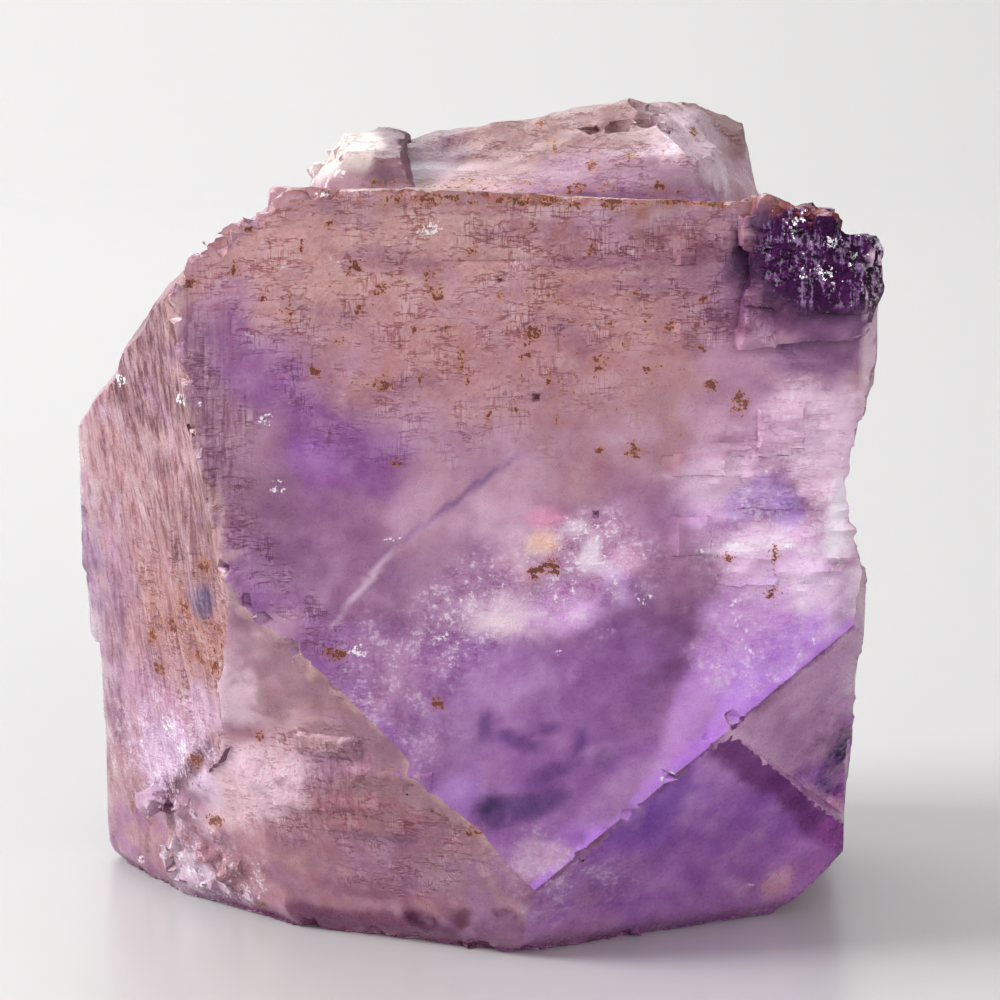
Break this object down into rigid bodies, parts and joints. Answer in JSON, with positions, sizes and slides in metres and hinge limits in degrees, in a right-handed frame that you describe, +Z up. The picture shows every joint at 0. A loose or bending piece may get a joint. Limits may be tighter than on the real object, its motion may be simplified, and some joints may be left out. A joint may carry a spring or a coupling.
{
  "type": "fluorite cube",
  "caption": "Rough purple crystal, a natural cube with cleaved lower corners, a stepped back and a second crystal grown along its top.",
  "frame": {"origin": "under the middle of the stone's bounding box, on the surface that it rests on", "axes": "+Z up; the flat front cube face looks along -Y; the dark upper corner is towards +X"},
  "size_m": [0.0524, 0.045, 0.0538],
  "materials": {
    "fluorite": "etched, with smooth cleavages; clear to cloudy purple"
  },
  "bodies": {
    "root": {"fluorite_crystal": "fluorite"}
  },
  "joints": []
}
